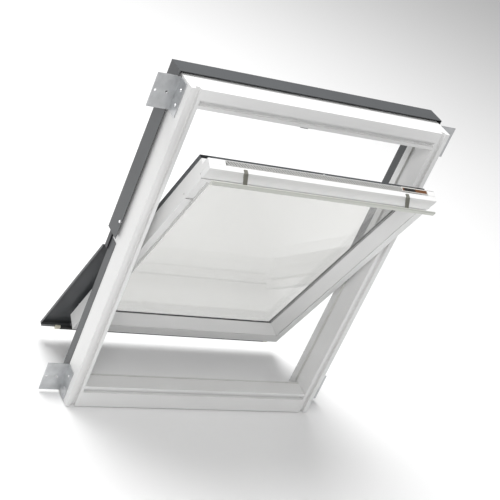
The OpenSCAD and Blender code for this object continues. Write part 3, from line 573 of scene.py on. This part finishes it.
def louvre_tree():
    """A row of slanted ribs along X, between two side rails."""
    tree = bpy.data.node_groups.new("louvre", "GeometryNodeTree")
    face = tree.interface
    face.new_socket("Geometry", in_out="INPUT", socket_type="NodeSocketGeometry")
    face.new_socket("Ribs", in_out="INPUT", socket_type="NodeSocketInt").default_value = 150
    for label, value in (("Length", 0.6), ("Width", 0.012), ("Height", 0.004), ("Rib", 0.0024),
                         ("Slant", 0.6), ("Rail", 0.0016)):
        face.new_socket(label, in_out="INPUT", socket_type="NodeSocketFloat").default_value = value
    face.new_socket("Finish", in_out="INPUT", socket_type="NodeSocketMaterial")
    face.new_socket("Geometry", in_out="OUTPUT", socket_type="NodeSocketGeometry")
    nodes, links = tree.nodes, tree.links
    given, out = nodes.new("NodeGroupInput"), nodes.new("NodeGroupOutput")

    def maths(kind, *given_values):
        node = nodes.new("ShaderNodeMath")
        node.operation = kind
        for i, v in enumerate(given_values):
            if isinstance(v, (int, float)):
                node.inputs[i].default_value = v
            else:
                links.new(v, node.inputs[i])
        return node.outputs[0]

    def vector(x, y, z):
        node = nodes.new("ShaderNodeCombineXYZ")
        for i, v in enumerate((x, y, z)):
            if isinstance(v, (int, float)):
                node.inputs[i].default_value = v
            else:
                links.new(v, node.inputs[i])
        return node.outputs[0]

    length, width, height, rib, rail_width = (
        given.outputs[n] for n in ("Length", "Width", "Height", "Rib", "Rail"))
    line = nodes.new("GeometryNodeMeshLine")
    line.mode = "END_POINTS"
    links.new(given.outputs["Ribs"], line.inputs["Count"])
    links.new(vector(maths("MULTIPLY", length, -0.49), 0, 0), line.inputs["Start Location"])
    links.new(vector(maths("MULTIPLY", length, 0.49), 0, 0), line.inputs["Offset"])
    bar = nodes.new("GeometryNodeMeshCube")
    links.new(vector(rib, maths("MULTIPLY", width, 1.08), height), bar.inputs["Size"])
    ribs = nodes.new("GeometryNodeInstanceOnPoints")
    links.new(line.outputs["Mesh"], ribs.inputs["Points"])
    links.new(bar.outputs["Mesh"], ribs.inputs["Instance"])
    spin = nodes.new("FunctionNodeEulerToRotation")
    links.new(vector(0, 0, given.outputs["Slant"]), spin.inputs["Euler"])
    links.new(spin.outputs["Rotation"], ribs.inputs["Rotation"])
    whole = nodes.new("GeometryNodeJoinGeometry")
    links.new(ribs.outputs["Instances"], whole.inputs[0])
    for side in (-1, 1):
        rail = nodes.new("GeometryNodeMeshCube")
        links.new(vector(length, rail_width, height), rail.inputs["Size"])
        move = nodes.new("GeometryNodeTransform")
        links.new(rail.outputs["Mesh"], move.inputs["Geometry"])
        inset = maths("MULTIPLY", maths("SUBTRACT", width, rail_width), 0.5 * side)
        links.new(vector(0, inset, 0), move.inputs["Translation"])
        links.new(move.outputs["Geometry"], whole.inputs[0])
    real = nodes.new("GeometryNodeRealizeInstances")
    links.new(whole.outputs[0], real.inputs["Geometry"])
    coat = nodes.new("GeometryNodeSetMaterial")
    links.new(real.outputs["Geometry"], coat.inputs["Geometry"])
    links.new(given.outputs["Finish"], coat.inputs["Material"])
    links.new(coat.outputs["Geometry"], out.inputs["Geometry"])
    return tree


def placed(piece, move):
    """Puts a piece's place into its mesh."""
    piece.data.transform(move)
    piece.data.update()
    return piece


grille_low, grille_high = closed_box("vent_grille")
grille_size = grille_high - grille_low
grille_grey = finish("grille_grey", (0.42, 0.42, 0.41), 0.0, (0.4, 0.55), 0.04, 30, 900)
louvre = grown("vent_louvre", [(0, 0, 0)], louvre_tree(), {
    "Ribs": round(grille_size.x / 8), "Length": grille_size.x / 1000, "Width": grille_size.y / 1000,
    "Height": grille_size.z / 1000, "Rib": 0.0032, "Slant": 0.75, "Rail": 0.0016, "Finish": grille_grey})
placed(louvre, closed @ Matrix.Translation((grille_low + grille_high) / 2000))
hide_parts("vent_grille")
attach(louvre, "sash")
foam = finish("filter_foam", (0.10, 0.10, 0.10), 0.0, (0.8, 0.95), 0.3, 500, 900, 0.0004)
eased("vent_filter", "vent_foam", 0.6, foam)
eased("top_flashing", "vent_flashing", 0.3, cover_lacquer)

# ---------------------------------------------------------------- data plate
# A blank plate pressed onto the vent's ledge: a dark band that ends in brown, inside a pale
# moulded edge. It carries no words.
plate_print = bpy.data.materials.new("plate_print")
plate_print.use_nodes = True
plate_nodes, plate_links = plate_print.node_tree.nodes, plate_print.node_tree.links
plate_shader = plate_nodes["Principled BSDF"]
plate_place = plate_nodes.new("ShaderNodeTexCoord")
plate_points = [v.co.copy() for v in frame["nodes"]["data_plate"].data.vertices]


def bands_along(axis, colours):
    """Colour bands across the plate: each (start, colour) runs from its share of the plate's length."""
    reach = [p.dot(axis) for p in plate_points]
    along = plate_nodes.new("ShaderNodeVectorMath")
    along.operation = "DOT_PRODUCT"
    along.inputs[1].default_value = axis
    plate_links.new(plate_place.outputs["Object"], along.inputs[0])
    share = plate_nodes.new("ShaderNodeMapRange")
    share.inputs["From Min"].default_value, share.inputs["From Max"].default_value = min(reach), max(reach)
    plate_links.new(along.outputs["Value"], share.inputs["Value"])
    ramp = plate_nodes.new("ShaderNodeValToRGB")
    ramp.color_ramp.interpolation = "CONSTANT"
    ramp.color_ramp.elements[0].color = colours[0][1]
    ramp.color_ramp.elements[1].position, ramp.color_ramp.elements[1].color = colours[1]
    for start, colour in colours[2:]:
        ramp.color_ramp.elements.new(start).color = colour
    plate_links.new(share.outputs["Result"], ramp.inputs["Fac"])
    return ramp.outputs["Color"]


plate_pale, plate_brown = (0.60, 0.59, 0.56, 1), (0.13, 0.05, 0.015, 1)
plate_dark, bare, printed = (0.012, 0.011, 0.010, 1), (0, 0, 0, 1), (1, 1, 1, 1)
film_bands = bands_along(Vector((1, 0, 0)), [
    (0.0, plate_pale), (0.02, plate_brown), (0.08, plate_dark), (0.52, plate_brown), (0.97, plate_pale)])
film_width = bands_along(lean @ Vector((0, 1, 0)), [(0.0, bare), (0.12, printed), (0.8, bare)])
plate_mix = plate_nodes.new("ShaderNodeMix")
plate_mix.data_type = "RGBA"
plate_mix.inputs["A"].default_value = plate_pale
plate_links.new(film_width, plate_mix.inputs["Factor"])
plate_links.new(film_bands, plate_mix.inputs["B"])
plate_grain = plate_nodes.new("ShaderNodeTexNoise")
plate_grain.inputs["Scale"].default_value = 900
plate_gloss = plate_nodes.new("ShaderNodeMapRange")
plate_gloss.inputs["To Min"].default_value, plate_gloss.inputs["To Max"].default_value = 0.25, 0.4
plate_links.new(plate_mix.outputs["Result"], plate_shader.inputs["Base Color"])
plate_links.new(plate_place.outputs["Object"], plate_grain.inputs["Vector"])
plate_links.new(plate_grain.outputs["Fac"], plate_gloss.inputs["Value"])
plate_links.new(plate_gloss.outputs["Result"], plate_shader.inputs["Roughness"])
eased("data_plate", "data_plate_film", 0.3, plate_print)

# ---------------------------------------------------------------- flap and control bar
# The ventilation flap turns on two pins along its lower edge. The control bar is a drawn
# aluminium profile held off the flap by two bent straps, which hook over the flap's upper edge.
# The flap takes the sash's darker lacquer, with its painted shade.
eased("flap", "vent_flap_board", 1.1, sash_lacquer_painted_shade, 3)
eased("flap_knuckles", "flap_hinge_knuckles", 0.3, zinc)
frame["nodes"]["flap_pins"].data.materials.clear()
frame["nodes"]["flap_pins"].data.materials.append(zinc)
bar_metal = finish("bar_metal", (0.55, 0.56, 0.52), 0.35, (0.32, 0.42), 0.02, 12, 1600, 0.00002,
                   stretch=(0.02, 1, 1))
eased("control_bar", "control_bar_profile", 0.3, bar_metal)
strap_paint = finish("strap_paint", (0.17, 0.17, 0.145), 0.2, (0.35, 0.48), 0.04, 20, 1200, 0.00003)
eased("bar_brackets", "control_bar_straps", 0.5, strap_paint)

# ---------------------------------------------------------------- barrel bolt
# A turned bolt that slides in the left member, with a small knob on its stem.
barrel_low, barrel_high = closed_box("barrel_bolt")
stem = [unclosed @ v.co * 1000 for v in frame["nodes"]["barrel_bolt"].data.vertices]
rod_radius = 3.0
rod_y = max(p.y for p in stem) - rod_radius
rod_z = (barrel_low.z + barrel_high.z) / 2
knob_x = [p.x for p in stem if p.y < barrel_low.y + 1]
knob_mid = (min(knob_x) + max(knob_x)) / 2
rod_length, stem_length = barrel_high.x - barrel_low.x, rod_y - barrel_low.y
rod_outline = [(0, 0), (0, 1.6), (1.4, rod_radius), (rod_length - 0.5, rod_radius), (rod_length, 2.5),
               (rod_length, 0)]
stem_outline = [(0, 0), (0, 2.6), (0.7, 3.5), (2.4, 3.5), (3.0, 2.9), (3.0, 1.7), (stem_length, 1.7),
                (stem_length, 0)]
bolt_rod = turned("bolt_rod", rod_outline, (barrel_low.x, rod_y, rod_z), (1, 0, 0), pale_plastic, 24)
bolt_stem = turned("bolt_stem", stem_outline, (knob_mid, barrel_low.y, rod_z), (0, 1, 0), pale_plastic, 24)
barrel = placed(joined("barrel_bolt_turned", [bolt_rod, bolt_stem]), closed)
barrel.data.shade_smooth()
barrel.data.set_sharp_from_angle(angle=math.radians(32))
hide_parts("barrel_bolt")
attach(barrel, "barrel_bolt")

# ---------------------------------------------------------------- sash covers
# Folded aluminium over the sash's outdoor side. The lower ones reach past the sill and carry a
# sweep seal with an end block at each side, and the upper ones stay inside the frame's covers.
for node, name in (("side_cover_left", "sash_cover_left"), ("side_cover_right", "sash_cover_right"),
                   ("side_trim_left", "sash_trim_left"), ("side_trim_right", "sash_trim_right"),
                   ("top_cover", "sash_cover_top"), ("bottom_cover", "sash_cover_bottom")):
    eased(node, name, 0.45, cover_lacquer)
eased("sweep_seal", "sill_sweep", 0.5, rubber)
cream_plastic = finish("cream_plastic", (0.66, 0.63, 0.52), 0.0, (0.4, 0.5), 0.03, 20, 900)
eased("corner_blocks", "sweep_end_blocks", 0.5, cream_plastic)
